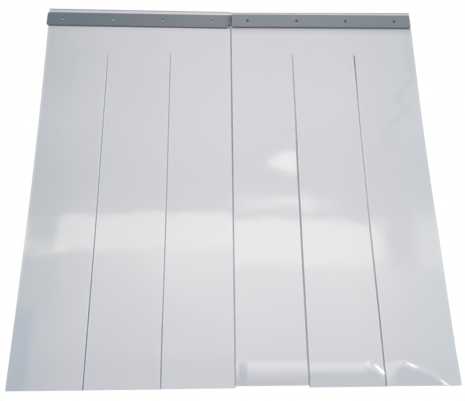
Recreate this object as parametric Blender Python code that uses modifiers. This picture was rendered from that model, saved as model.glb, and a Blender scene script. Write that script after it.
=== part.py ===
"""A PVC strip curtain: two slit sheets riveted between a back rail and two front bars.

X runs along the curtain's width, Z is up and the front faces -Y. The origin is on the back rail's rear
face, the face that goes against the wall or lintel, midway along it and 13 mm above its lower edge. All
lengths are in metres.
"""

import math

import bmesh
import bpy
from mathutils import Matrix, Vector

# The two sheets
SHEET_WIDTH = 0.600
SHEET_LENGTH = 1.200
SHEET_THICKNESS = 0.002
SHEET_RISE = 0.0135  # how far the sheets stand above the rail's top edge
HEADER_HEIGHT = 0.1695  # the uncut band, from the sheet's top edge to the ends of its slits
SLIT_WIDTH = 0.0006
SEAM_GAP = 0.0008  # between the left sheet and the right one
FIT_GAP = 0.0003  # between pieces that touch

# The back rail
RAIL_HEIGHT = 0.040
RAIL_UP = 0.007  # from the origin up to the rail's middle
RAIL_THICKNESS = 0.006
RAIL_SET_IN = 0.004  # how far the rail ends inside the sheets' outer edges
RAIL_CORNER_RADIUS = 0.003
RECESS_RADIUS = 0.0055  # the pocket at the back that takes a rivet's set end
RECESS_DEPTH = 0.0036

# The front bars
BAR_SHORTFALL = 0.005  # how much shorter a bar is than the sheet that it clamps
BAR_HEIGHT = 0.050
BAR_THICKNESS = 0.003
BAR_CORNER_RADIUS = 0.006
BAR_EDGE_RADIUS = 0.0008
RIVETS_PER_BAR = 4
RIVET_END_MARGIN = 0.053  # from a bar's end to its first rivet

# The blind rivets
HEAD_RADIUS = 0.0048
HEAD_RIM = 0.0005
HEAD_HEIGHT = 0.0016
SHANK_RADIUS = 0.0024
BORE_RADIUS = 0.0014
SET_END_RADIUS = 0.0036
SET_END_LENGTH = 0.0015
MANDREL_RADIUS = 0.0011
MANDREL_HEAD_RADIUS = 0.0021
MANDREL_HEAD_LENGTH = 0.0010
MANDREL_SUNK = 0.0012  # from the top of the rivet's head down to the broken end

ROUND_STEPS = 20
DOME_STEPS = 4
CORNER_STEPS = 5
OVERRUN = 0.002  # how far a cutter runs past the face that it cuts

# How each bar sits on its sheet, and how each sheet was cut. The photographed curtain is a little
# out of true. side is -1 for left and 1 for right, out is towards the curtain's outer edge.
# slit_shares places its slits, in shares of its width from its outer edge. The others are in the order
# of STRIP_NAMES: how much of BOW_DEPTH and CURL_DEPTH a strip has, and how far its end hangs too low.
STRIP_NAMES = ("outer", "middle", "inner")
SIDES = {
    "left": {
        "side": -1, "bar_out": 0.0055, "bar_up": 0.0022, "bar_turn": -0.75,
        "top_outer": 0.004, "top_inner": -0.0045,
        "slit_shares": (0.337, 0.673), "end_drops": (0.0035, 0.003, 0.002),
        "bow_shares": (0.75, 1.0, 0.75), "curl_shares": (0.25, 0.35, 0.4),
    },
    "right": {
        "side": 1, "bar_out": 0.0, "bar_up": 0.0022, "bar_turn": 0.0,
        "top_outer": 0.000, "top_inner": -0.0045,
        "slit_shares": (0.335, 0.672), "end_drops": (0.001, 0.002, -0.003),
        "bow_shares": (-0.5, -1.0, -0.75), "curl_shares": (0.85, 1.0, 1.0),
    },
}

# How far a strip stands off a plumb line: bow at its middle, and curl at its lower end, both
# towards the front. The curl takes the last CURL_LENGTH of the strip.
BOW_DEPTH = 0.004
CURL_DEPTH = 0.0075
CURL_LENGTH = 0.110
BOW_STATIONS = 12
CURL_STATIONS = 8
TOP_ROUND_STEPS = 8

# Levels that follow from the sizes above. Depth is along Y, and the front has the lower values.
sheet_top_z = RAIL_UP + RAIL_HEIGHT / 2 + SHEET_RISE
hinge_z = sheet_top_z - HEADER_HEIGHT
strip_length = SHEET_LENGTH - HEADER_HEIGHT
sheet_y = -RAIL_THICKNESS - FIT_GAP - SHEET_THICKNESS / 2
bar_y = sheet_y - SHEET_THICKNESS / 2 - FIT_GAP - BAR_THICKNESS / 2
bar_front_y = bar_y - BAR_THICKNESS / 2
head_seat_y = bar_front_y - FIT_GAP
hole_radius = SHANK_RADIUS + FIT_GAP
bar_length = SHEET_WIDTH - BAR_SHORTFALL
rivet_pitch = (bar_length - 2 * RIVET_END_MARGIN) / (RIVETS_PER_BAR - 1)

# Heights along a rivet, from zero under its head. They fall towards the wall.
set_end_top = head_seat_y + RECESS_DEPTH - FIT_GAP
set_end_low = set_end_top - SET_END_LENGTH
mandrel_head_top = set_end_low - FIT_GAP
mandrel_head_low = mandrel_head_top - MANDREL_HEAD_LENGTH


def clear_scene():
    for obj in list(bpy.data.objects):
        bpy.data.objects.remove(obj, do_unlink=True)


def new_collection(name):
    collection = bpy.data.collections.new(name)
    bpy.context.scene.collection.children.link(collection)
    return collection


def finish(name, color, roughness, metallic=0.0, alpha=1.0):
    material = bpy.data.materials.new(name)
    material.use_nodes = True
    shader = material.node_tree.nodes["Principled BSDF"]
    shader.inputs["Base Color"].default_value = (*color, 1.0)
    shader.inputs["Roughness"].default_value = roughness
    shader.inputs["Metallic"].default_value = metallic
    shader.inputs["Alpha"].default_value = alpha
    return material


def add_object(name, data, collection, material=None):
    obj = bpy.data.objects.new(name, data)
    collection.objects.link(obj)
    if material and not data.materials:
        data.materials.append(material)
    return obj


def outline_solid(name, points, depth, collection, material):
    """A flat outline in the object's own XY plane, depth thick along its own Z, as a mesh."""
    curve = bpy.data.curves.new(name, "CURVE")
    curve.dimensions = "2D"
    curve.fill_mode = "BOTH"
    curve.extrude = depth / 2
    spline = curve.splines.new("POLY")
    spline.points.add(len(points) - 1)
    for point, (x, y) in zip(spline.points, points):
        point.co = (x, y, 0.0, 1.0)
    spline.use_cyclic_u = True
    guide = bpy.data.objects.new(name + "_guide", curve)
    bpy.context.scene.collection.objects.link(guide)
    graph = bpy.context.evaluated_depsgraph_get()
    mesh = bpy.data.meshes.new_from_object(guide.evaluated_get(graph))
    bpy.data.objects.remove(guide, do_unlink=True)
    weld = bmesh.new()
    weld.from_mesh(mesh)
    bmesh.ops.remove_doubles(weld, verts=weld.verts, dist=FIT_GAP / 100)
    bmesh.ops.recalc_face_normals(weld, faces=weld.faces)
    weld.to_mesh(mesh)
    weld.free()
    mesh.name = name
    return add_object(name, mesh, collection, material)


def bar_mesh(name, length, height, thickness, corner_radius):
    """A flat bar along X with its four corners rounded, centred on its own origin."""
    mesh = bpy.data.meshes.new(name)
    shape = bmesh.new()
    bmesh.ops.create_cube(shape, size=1.0)
    bmesh.ops.scale(shape, verts=shape.verts, vec=(length, thickness, height))
    corners = [
        edge for edge in shape.edges
        if abs(edge.verts[0].co.y - edge.verts[1].co.y) > thickness / 2
    ]
    bmesh.ops.bevel(
        shape, geom=corners, offset=corner_radius, segments=CORNER_STEPS,
        profile=0.5, affect="EDGES",
    )
    shape.to_mesh(mesh)
    shape.free()
    return mesh


def cutter_cylinder(name, radius, y_from, y_to, place, collection):
    """A round cutter along Y between two depths, at the x and z of place."""
    mesh = bpy.data.meshes.new(name)
    shape = bmesh.new()
    bmesh.ops.create_cone(
        shape, cap_ends=True, segments=ROUND_STEPS, radius1=radius, radius2=radius,
        depth=abs(y_to - y_from), matrix=Matrix.Rotation(math.radians(90), 4, "X"),
    )
    shape.to_mesh(mesh)
    shape.free()
    cutter = add_object(name, mesh, collection)
    cutter.location = (place.x, (y_from + y_to) / 2, place.z)
    cutter.hide_render = True
    cutter.display_type = "WIRE"
    return cutter


def cut(obj, cutter):
    modifier = obj.modifiers.new("cut_" + cutter.name, "BOOLEAN")
    modifier.operation = "DIFFERENCE"
    modifier.object = cutter


def round_edges(obj, width):
    modifier = obj.modifiers.new("edge_radius", "BEVEL")
    modifier.width = width
    modifier.segments = 2
    modifier.limit_method = "ANGLE"
    modifier.angle_limit = math.radians(50)


def bar_centre(sizes):
    x = sizes["side"] * (SHEET_WIDTH / 2 + sizes["bar_out"])
    return Vector((x, bar_y, sizes["bar_up"]))


def bar_turn(sizes):
    """The bar's small turn on its sheet. A positive one lifts the end at +X."""
    return Matrix.Rotation(-math.radians(sizes["bar_turn"]), 3, "Y")


def rivet_places(sizes):
    """The x and z of each rivet of a bar, from the bar's left end to its right one."""
    first = -bar_length / 2 + RIVET_END_MARGIN
    centre = bar_centre(sizes)
    turn = bar_turn(sizes)
    return [
        centre + turn @ Vector((first + i * rivet_pitch, 0.0, 0.0))
        for i in range(RIVETS_PER_BAR)
    ]


def strip_edges(sizes):
    """The x of the left and right edge of each strip, in the order of STRIP_NAMES."""
    inner_edge = SEAM_GAP / 2
    cuts = [SHEET_WIDTH] + [SHEET_WIDTH * (1 - share) for share in sizes["slit_shares"]]
    cuts.append(inner_edge)
    edges = []
    for name, outer, inner in zip(STRIP_NAMES, cuts, cuts[1:]):
        far = outer if name == "outer" else outer - SLIT_WIDTH / 2
        near = inner if name == "inner" else inner + SLIT_WIDTH / 2
        edges.append(sorted((sizes["side"] * far, sizes["side"] * near)))
    return edges


def rail_cutter(places, collection):
    """Every rivet's hole through the rail, with its pocket at the back, as one cutter."""
    rings = (
        (hole_radius, -RAIL_THICKNESS - OVERRUN), (hole_radius, -RECESS_DEPTH),
        (RECESS_RADIUS, -RECESS_DEPTH), (RECESS_RADIUS, OVERRUN),
    )
    angles = [2 * math.pi * i / ROUND_STEPS for i in range(ROUND_STEPS)]
    mesh = bpy.data.meshes.new("rail_holes")
    shape = bmesh.new()
    for place in places:
        loops = [
            [
                shape.verts.new(
                    (place.x + radius * math.sin(angle), y, place.z + radius * math.cos(angle)),
                )
                for angle in angles
            ]
            for radius, y in rings
        ]
        for near, far in zip(loops, loops[1:]):
            for i in range(ROUND_STEPS):
                shape.faces.new((near[i - 1], near[i], far[i], far[i - 1]))
        shape.faces.new(loops[0])
        shape.faces.new(loops[-1])
    bmesh.ops.recalc_face_normals(shape, faces=shape.faces)
    shape.to_mesh(mesh)
    shape.free()
    cutter = add_object("rail_holes", mesh, collection)
    cutter.hide_render = True
    cutter.display_type = "WIRE"
    return cutter


def make_back_rail(collection, cutters, material):
    length = 2 * (SHEET_WIDTH - RAIL_SET_IN)
    mesh = bar_mesh("back_rail", length, RAIL_HEIGHT, RAIL_THICKNESS, RAIL_CORNER_RADIUS)
    rail = add_object("back_rail", mesh, collection, material)
    rail.location = (0.0, -RAIL_THICKNESS / 2, RAIL_UP)
    places = [place for sizes in SIDES.values() for place in rivet_places(sizes)]
    cut(rail, rail_cutter(places, cutters))
    return rail


def make_front_bar(side, sizes, mesh, collection, material, hole_cutters):
    bar = add_object(f"{side}_front_bar", mesh, collection, material)
    bar.location = bar_centre(sizes)
    bar.rotation_euler = bar_turn(sizes).to_euler()
    round_edges(bar, BAR_EDGE_RADIUS)
    for cutter in hole_cutters:
        cut(bar, cutter)
    return bar


def make_header(side, sizes, collection, material, hole_cutters):
    """The uncut band of a sheet, down to just above the round tops of its strips."""
    outer_x = sizes["side"] * SHEET_WIDTH
    inner_x = sizes["side"] * SEAM_GAP / 2
    low = hinge_z + SHEET_THICKNESS / 2 + FIT_GAP
    points = [
        (outer_x, low),
        (inner_x, low),
        (inner_x, sheet_top_z + sizes["top_inner"]),
        (outer_x, sheet_top_z + sizes["top_outer"]),
    ]
    header = outline_solid(
        f"{side}_sheet_header", points, SHEET_THICKNESS, collection, material,
    )
    header.location = (0.0, sheet_y, 0.0)
    header.rotation_euler = (math.radians(90), 0.0, 0.0)
    for cutter in hole_cutters:
        cut(header, cutter)
    return header


def strip_line(length, bow, curl):
    """Points down the middle of a strip's thickness from its hinge, as (depth, height)."""
    curl_from = length - CURL_LENGTH
    stations = [curl_from * i / BOW_STATIONS for i in range(BOW_STATIONS)]
    stations += [curl_from + CURL_LENGTH * i / CURL_STATIONS for i in range(CURL_STATIONS + 1)]
    line = []
    for down in stations:
        swell = (1 - math.cos(2 * math.pi * down / length)) / 2
        rolled = max(0.0, (down - curl_from) / CURL_LENGTH)
        line.append(Vector((-bow * swell - curl * rolled**2 * (3 - 2 * rolled), -down)))
    return line


def strip_outline(length, bow, curl):
    """The side view of a strip: its middle line widened to the thickness, with a half-round top."""
    line = strip_line(length, bow, curl)
    half = SHEET_THICKNESS / 2
    front, back = [], []
    for i, point in enumerate(line):
        along = line[min(i + 1, len(line) - 1)] - line[max(i - 1, 0)]
        across = Vector((along.y, -along.x)).normalized() * half
        if i > 0:
            front.append(point + across)
            back.append(point - across)
    angles = [math.pi * i / TOP_ROUND_STEPS for i in range(TOP_ROUND_STEPS + 1)]
    top = [Vector((half * math.cos(a), half * math.sin(a))) for a in angles]
    return top + front + back[::-1]


def make_strips(side, sizes, collection, material):
    """The three strips of a sheet, each with its origin on the line that it bends at."""
    rows = zip(
        STRIP_NAMES, strip_edges(sizes), sizes["end_drops"], sizes["bow_shares"], sizes["curl_shares"],
    )
    for name, (left, right), drop, bow_share, curl_share in rows:
        outline = strip_outline(
            strip_length + drop, BOW_DEPTH * bow_share, CURL_DEPTH * curl_share,
        )
        strip = outline_solid(
            f"{side}_strip_{name}", outline, right - left, collection, material,
        )
        strip.location = ((left + right) / 2, sheet_y, hinge_z)
        strip.rotation_euler = (math.radians(90), 0.0, math.radians(90))
        strip.data.shade_smooth()
        strip.data.set_sharp_from_angle(angle=math.radians(40))


def turned(name, profile):
    """The edge profile of a turned piece, in the XZ plane at +X, outer side from top to bottom."""
    mesh = bpy.data.meshes.new(name)
    count = len(profile)
    closed = profile[0][0] > 0
    edges = [(i, i + 1) for i in range(count - 1)] + ([(count - 1, 0)] if closed else [])
    mesh.from_pydata([(r, 0.0, z) for r, z in profile], edges, [])
    return mesh


def turn(obj):
    modifier = obj.modifiers.new("turn", "SCREW")
    modifier.steps = ROUND_STEPS
    modifier.render_steps = ROUND_STEPS
    modifier.use_merge_vertices = True
    modifier.merge_threshold = FIT_GAP / 100
    modifier.use_smooth_shade = True


def rivet_profile():
    """The rivet from its domed head down to the set end, which swells behind the rail's web."""
    dome = []
    for i in range(DOME_STEPS):
        angle = math.radians(90) * i / DOME_STEPS
        radius = BORE_RADIUS + (HEAD_RADIUS - BORE_RADIUS) * math.sin(angle)
        dome.append((radius, HEAD_RIM + (HEAD_HEIGHT - HEAD_RIM) * math.cos(angle)))
    return dome + [
        (HEAD_RADIUS, HEAD_RIM),
        (HEAD_RADIUS, 0.0),
        (SHANK_RADIUS, 0.0),
        (SHANK_RADIUS, set_end_top),
        (SET_END_RADIUS, set_end_top),
        (SET_END_RADIUS, (set_end_top + set_end_low) / 2),
        (SHANK_RADIUS, set_end_low),
        (BORE_RADIUS, set_end_low),
    ]


def mandrel_profile():
    """The broken mandrel: a pin down the bore and its head behind the rivet's set end."""
    top = HEAD_HEIGHT - MANDREL_SUNK
    return [
        (0.0, top),
        (MANDREL_RADIUS, top),
        (MANDREL_RADIUS, mandrel_head_top),
        (MANDREL_HEAD_RADIUS, mandrel_head_top),
        (MANDREL_HEAD_RADIUS, (mandrel_head_top + mandrel_head_low) / 2),
        (MANDREL_RADIUS, mandrel_head_low),
        (0.0, mandrel_head_low),
    ]


def make_rivets(side, sizes, meshes, collection, materials):
    """A rivet and its mandrel stub at each place, with their heads towards the front."""
    for i, place in enumerate(rivet_places(sizes), start=1):
        for piece in ("rivet", "mandrel"):
            obj = add_object(
                f"{side}_{piece}_{i}", meshes[piece], collection, materials[piece],
            )
            obj.location = (place.x, head_seat_y, place.z)
            obj.rotation_euler = (math.radians(90), 0.0, 0.0)
            turn(obj)


def main():
    clear_scene()
    curtain = new_collection("pvc_strip_curtain")
    cutters = new_collection("cutters")
    grey = finish("grey_bar", (0.20, 0.23, 0.26), 0.45, 0.2)
    rail_grey = finish("grey_rail", (0.17, 0.20, 0.23), 0.50, 0.2)
    clear_pvc = finish("clear_pvc", (0.58, 0.60, 0.65), 0.08, 0.0, 0.5)
    rivet_metal = finish("rivet_aluminium", (0.42, 0.45, 0.48), 0.35, 0.9)
    mandrel_steel = finish("mandrel_steel", (0.10, 0.11, 0.12), 0.50, 0.9)
    meshes = {
        "rivet": turned("rivet", rivet_profile()),
        "mandrel": turned("mandrel", mandrel_profile()),
        "bar": bar_mesh("bar", bar_length, BAR_HEIGHT, BAR_THICKNESS, BAR_CORNER_RADIUS),
    }
    for side, sizes in SIDES.items():
        holes = [
            cutter_cylinder(
                f"hole_{side}_{i}", hole_radius, bar_front_y - OVERRUN, OVERRUN, place, cutters,
            )
            for i, place in enumerate(rivet_places(sizes), start=1)
        ]
        make_front_bar(side, sizes, meshes["bar"], curtain, grey, holes)
        make_header(side, sizes, curtain, clear_pvc, holes)
        make_strips(side, sizes, curtain, clear_pvc)
        rivet_finishes = {"rivet": rivet_metal, "mandrel": mandrel_steel}
        make_rivets(side, sizes, meshes, curtain, rivet_finishes)
    make_back_rail(curtain, cutters, rail_grey)
    bpy.context.view_layer.update()


main()
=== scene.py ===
import math

import bmesh
import bpy
from mathutils import Matrix, Vector, noise


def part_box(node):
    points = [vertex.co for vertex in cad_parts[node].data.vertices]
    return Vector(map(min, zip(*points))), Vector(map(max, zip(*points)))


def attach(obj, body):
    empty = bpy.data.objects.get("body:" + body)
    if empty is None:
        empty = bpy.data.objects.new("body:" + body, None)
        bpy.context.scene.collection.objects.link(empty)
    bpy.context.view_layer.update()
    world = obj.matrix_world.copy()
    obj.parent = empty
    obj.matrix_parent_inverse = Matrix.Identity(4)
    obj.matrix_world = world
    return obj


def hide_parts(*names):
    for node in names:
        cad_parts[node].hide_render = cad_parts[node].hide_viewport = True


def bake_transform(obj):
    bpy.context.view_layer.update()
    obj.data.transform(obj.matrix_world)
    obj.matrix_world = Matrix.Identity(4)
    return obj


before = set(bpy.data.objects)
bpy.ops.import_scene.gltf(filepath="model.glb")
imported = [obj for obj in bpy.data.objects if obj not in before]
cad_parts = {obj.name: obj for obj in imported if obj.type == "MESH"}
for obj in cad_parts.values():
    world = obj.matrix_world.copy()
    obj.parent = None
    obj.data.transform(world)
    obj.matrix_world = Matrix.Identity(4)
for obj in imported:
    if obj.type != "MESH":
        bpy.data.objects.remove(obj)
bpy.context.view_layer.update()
print("frame loaded,", len(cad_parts), "solids")

stripNames = ("outer", "middle", "inner")  # from a sheet's outer edge to the seam


def addNode(tree, kind, inputs=None, **settings):
    node = tree.nodes.new("ShaderNode" + kind)
    for key, value in settings.items():
        setattr(node, key, value)
    for key, value in (inputs or {}).items():
        if isinstance(value, bpy.types.NodeSocket):
            tree.links.new(value, node.inputs[key])
        else:
            node.inputs[key].default_value = value
    return node


def maths(tree, operation, *values):
    return addNode(tree, "Math", dict(enumerate(values)), operation=operation).outputs[0]


def product(tree, first, *others):
    for other in others:
        first = maths(tree, "MULTIPLY", first, other)
    return first


def vectorMaths(tree, operation, *values):
    return addNode(tree, "VectorMath", dict(enumerate(values)), operation=operation).outputs[0]


def ramp(tree, value, fromLow, fromHigh, toLow=0.0, toHigh=1.0, smooth=True):
    node = addNode(tree, "MapRange", {
        "Value": value, "From Min": fromLow, "From Max": fromHigh, "To Min": toLow, "To Max": toHigh,
    }, interpolation_type="SMOOTHSTEP" if smooth else "LINEAR")
    return node.outputs["Result"]


def mixColours(tree, share, first, second):
    node = addNode(tree, "Mix", data_type="RGBA")
    for socket, value in ((node.inputs[0], share), (node.inputs[6], first), (node.inputs[7], second)):
        if isinstance(value, bpy.types.NodeSocket):
            tree.links.new(value, socket)
        else:
            socket.default_value = (*value, 1.0) if isinstance(value, tuple) else value
    return node.outputs[2]


def colourStops(tree, value, stops):  # stops are (value, colour) pairs
    node = addNode(tree, "ValToRGB", {"Fac": ramp(tree, value, stops[0][0], stops[-1][0], smooth=False)})
    span = stops[-1][0] - stops[0][0]
    points = node.color_ramp.elements
    for number, (place, colour) in enumerate(stops):
        share = (place - stops[0][0]) / span
        point = points[number] if number in (0, 1) else points.new(share)
        point.position = share
        point.color = (*colour, 1.0) if isinstance(colour, tuple) else (colour, colour, colour, 1.0)
    return node.outputs["Color"]


def valueStops(tree, value, stops):  # the same with a plain number in place of each colour
    return addNode(tree, "SeparateColor", {"Color": colourStops(tree, value, stops)}).outputs[0]


def softBox(tree, across, up, left, right, low, high, soft):  # 1 inside a soft-edged rectangle
    return product(
        tree, ramp(tree, across, left - soft, left + soft), ramp(tree, across, right + soft, right - soft),
        ramp(tree, up, low - soft, low + soft), ramp(tree, up, high + soft, high - soft),
    )


def newGroup(name, inputs, outputs):
    tree = bpy.data.node_groups.new(name, "ShaderNodeTree")
    for socketName, kind, default in inputs:
        socket = tree.interface.new_socket(name=socketName, in_out="INPUT", socket_type=kind)
        if default is not None:
            socket.default_value = default
    for socketName, kind in outputs:
        tree.interface.new_socket(name=socketName, in_out="OUTPUT", socket_type=kind)
    return tree, tree.nodes.new("NodeGroupInput").outputs, tree.nodes.new("NodeGroupOutput").inputs


def placeGroup(tree, group, **inputs):
    node = tree.nodes.new("ShaderNodeGroup")
    node.node_tree = group
    for key, value in inputs.items():
        socket = node.inputs[key]
        if isinstance(value, bpy.types.NodeSocket):
            tree.links.new(value, socket)
        else:
            socket.default_value = value
    return node.outputs


def newMaterial(name):
    material = bpy.data.materials.new(name)
    material.use_nodes = True
    tree = material.node_tree
    return material, tree, tree.nodes["Principled BSDF"]


def setSurface(tree, shader):
    output = next(node for node in tree.nodes if node.type == "OUTPUT_MATERIAL")
    tree.links.new(shader.outputs[0], output.inputs["Surface"])


effects = {  # from which to which noise value each pattern comes in, and how the scuffs are drawn out
    "tone": (0.3, 0.7), "toneRoughness": 0.5, "speckle": (0.58, 0.72), "grainRoughness": 0.6,
    "streak": (0.62, 0.74), "streakRoughness": 0.65, "streakDrawn": (1.0, 1.0, 24.0),
    "streakPatch": (0.45, 0.62), "patchesPerLength": 0.35,
}


def makeUnevenTone():
    tree, given, out = newGroup("uneven tone", [
        ("Vector", "NodeSocketVector", None), ("Patch Size", "NodeSocketFloat", 0.1),
        ("Detail", "NodeSocketFloat", 2.0),
    ], [("Tone", "NodeSocketFloat")])
    cloud = addNode(tree, "TexNoise", {
        "Vector": given["Vector"], "Scale": maths(tree, "DIVIDE", 1.0, given["Patch Size"]),
        "Detail": given["Detail"], "Roughness": effects["toneRoughness"],
    })
    tree.links.new(ramp(tree, cloud.outputs["Fac"], *effects["tone"]), out["Tone"])
    return tree


def makeFineGrain():
    tree, given, out = newGroup("fine grain", [
        ("Vector", "NodeSocketVector", None), ("Grain Size", "NodeSocketFloat", 0.001),
    ], [("Height", "NodeSocketFloat"), ("Speckle", "NodeSocketFloat")])
    grain = addNode(tree, "TexNoise", {
        "Vector": given["Vector"], "Scale": maths(tree, "DIVIDE", 1.0, given["Grain Size"]),
        "Detail": 3.0, "Roughness": effects["grainRoughness"],
    })
    tree.links.new(grain.outputs["Fac"], out["Height"])
    tree.links.new(ramp(tree, grain.outputs["Fac"], *effects["speckle"]), out["Speckle"])
    return tree


def makeScuffs():
    tree, given, out = newGroup("scuffs", [
        ("Vector", "NodeSocketVector", None), ("Length", "NodeSocketFloat", 0.05),
        ("Slant", "NodeSocketFloat", 0.4), ("Amount", "NodeSocketFloat", 0.5),
    ], [("Mask", "NodeSocketFloat")])
    turned = addNode(tree, "VectorRotate", {"Vector": given["Vector"], "Angle": given["Slant"]},
                     rotation_type="Y_AXIS").outputs[0]
    streaks = addNode(tree, "TexNoise", {
        "Vector": vectorMaths(tree, "MULTIPLY", turned, effects["streakDrawn"]),
        "Scale": maths(tree, "DIVIDE", 1.0, given["Length"]),
        "Detail": 4.0, "Roughness": effects["streakRoughness"],
    })
    patches = addNode(tree, "TexNoise", {
        "Vector": given["Vector"], "Detail": 1.0,
        "Scale": maths(tree, "DIVIDE", effects["patchesPerLength"], given["Length"]),
    })
    thin = ramp(tree, streaks.outputs["Fac"], *effects["streak"])
    where = ramp(tree, patches.outputs["Fac"], *effects["streakPatch"])
    tree.links.new(product(tree, thin, where, given["Amount"]), out["Mask"])
    return tree


def makeOutlineBand():  # how near a point is to the outline of a flat bar, in the bar's own plane
    tree, given, out = newGroup("outline band", [
        ("Vector", "NodeSocketVector", None), ("Centre", "NodeSocketVector", None),
        ("Half Size", "NodeSocketVector", None), ("Turn", "NodeSocketFloat", 0.0),
        ("Corner", "NodeSocketFloat", 0.006), ("Width", "NodeSocketFloat", 0.002),
    ], [("Mask", "NodeSocketFloat"), ("Along", "NodeSocketFloat"), ("Up", "NodeSocketFloat")])
    turned = addNode(tree, "VectorRotate", {
        "Vector": given["Vector"], "Center": given["Centre"], "Angle": given["Turn"],
    }, rotation_type="Y_AXIS").outputs[0]
    own = vectorMaths(tree, "SUBTRACT", turned, given["Centre"])
    parts = addNode(tree, "SeparateXYZ", {"Vector": own}).outputs
    half = addNode(tree, "SeparateXYZ", {"Vector": given["Half Size"]}).outputs
    over = []
    for axis in ("X", "Z"):
        straight = maths(tree, "SUBTRACT", half[axis], given["Corner"])
        over.append(maths(tree, "SUBTRACT", maths(tree, "ABSOLUTE", parts[axis]), straight))
    outside = [maths(tree, "MAXIMUM", value, 0.0) for value in over]
    squares = [maths(tree, "MULTIPLY", value, value) for value in outside]
    cornered = maths(tree, "SQRT", maths(tree, "ADD", *squares))
    inside = maths(tree, "MINIMUM", maths(tree, "MAXIMUM", *over), 0.0)
    depth = maths(tree, "SUBTRACT", maths(tree, "ADD", cornered, inside), given["Corner"])
    tree.links.new(ramp(tree, depth, maths(tree, "MULTIPLY", given["Width"], -1.0), 0.0), out["Mask"])
    tree.links.new(parts["X"], out["Along"])
    tree.links.new(parts["Z"], out["Up"])
    return tree


unevenTone, fineGrain, scuffs, outlineBand = makeUnevenTone(), makeFineGrain(), makeScuffs(), makeOutlineBand()
print("shared effects made")


bars = {  # endLine is where a faint line crosses a bar, and 9.0 means none
    "halfSize": (0.2975, 0.0015, 0.025), "corner": 0.006, "edgeWidth": 0.0025, "centreY": -0.0101,
    "edgeShadeAndMarkTint": (0.075, 0.092, 0.112), "wornTint": (0.36, 0.38, 0.40), "roughness": 0.42, "lineWidth": 0.0016,
    "left": {"centreX": -0.3055, "centreZ": 0.0022, "turnDeg": -0.75, "endLine": 0.2905,
             "farTint": (0.110, 0.142, 0.178), "nearTint": (0.155, 0.176, 0.206)},
    "right": {"centreX": 0.3000, "centreZ": 0.0022, "turnDeg": 0.0, "endLine": 9.0,
              "farTint": (0.155, 0.186, 0.222), "nearTint": (0.168, 0.196, 0.228)},
}
clearPvc = {
    "tints": (  # across the curtain, in metres from the seam
        (-0.60, (0.503, 0.523, 0.558)), (-0.52, (0.530, 0.551, 0.587)), (-0.455, (0.572, 0.579, 0.616)),
        (-0.385, (0.594, 0.601, 0.639)), (-0.25, (0.616, 0.624, 0.654)), (-0.16, (0.646, 0.642, 0.677)),
        (0.0, (0.662, 0.654, 0.689)), (0.33, (0.654, 0.650, 0.685)), (0.43, (0.624, 0.631, 0.662)),
        (0.50, (0.606, 0.617, 0.650)), (0.60, (0.578, 0.612, 0.645)),
    ),
    "handledTint": (0.532, 0.555, 0.598),
    "barShadows": {  # by metres below a bar
        "left": ((0, 0.95), (0.0012, 0.95), (0.0024, 0.12), (0.006, 0.06), (0.014, 0.03), (0.022, 0)),
        "right": ((0, 1.0), (0.0013, 1.0), (0.0025, 0.45), (0.0050, 0.32), (0.0085, 0.20), (0.0125, 0.13),
                  (0.017, 0.09), (0.022, 0.05), (0.030, 0)),
    },
    # the painted shadow under the bars and the knife's scores share one dark tint
    "barShadowAndScoreTint": (0.055, 0.070, 0.088), "barShadowStart": (-0.0012, -0.0002), "barShadowSide": 0.002,
    # a box is left, right, nearest, furthest and softness, measured down the sheet, or up from its low end
    "gapShadow": (-0.0085, 0.0028, 0.0530, 0.0682, 0.0006), "gapShadowTint": (0.200, 0.233, 0.263),
    "cornerDarkReflection": (0.010, 0.032, 0.004, 0.060, 0.005), "cornerDarkReflectionTint": (0.505, 0.528, 0.572),
    "slits": (-0.3978, -0.1962, 0.1968, 0.3990), "slitStarts": (0.160, 0.169), "slitReach": (0.0014, 0.0004),
    "slitShare": 0.35, "haloTint": (0.730, 0.740, 0.770), "haloReach": (0.008, 0.002), "haloShare": 0.30,
    "blueTint": (0.440, 0.480, 0.555), "blueAcross": (-0.535, -0.565), "blueDown": (0.95, 1.02), "blueShare": 0.8,
    "cloud": {"Patch Size": 0.22, "Detail": 1.5}, "cloudShift": 0.02,
    "scuffs": {"Length": 0.06, "Slant": 0.3, "Amount": 0.5}, "scuffRoughness": 0.30,
    "shadowTint": (0.74, 0.77, 0.80), "ior": 1.53, "roughness": 0.060,
}
cutEdge = {
    "tint": (0.085, 0.122, 0.180), "clearTint": (0.560, 0.575, 0.620), "shadowTint": (0.50, 0.53, 0.57),
    "tone": {"Patch Size": 0.03, "Detail": 2.0}, "palestShare": 0.86, "roughness": 0.35, "ior": 1.53,
}


def makeClear(tree, shader, look):  # lamps shine through, tinted, and leave only a soft shadow
    shader.inputs["IOR"].default_value = look["ior"]
    shader.inputs["Transmission Weight"].default_value = 1.0
    clear = addNode(tree, "BsdfTransparent", {"Color": (*look["shadowTint"], 1.0)})
    path = addNode(tree, "LightPath")
    setSurface(tree, addNode(tree, "MixShader", {
        0: path.outputs["Is Shadow Ray"], 1: shader.outputs["BSDF"], 2: clear.outputs["BSDF"],
    }))


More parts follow.
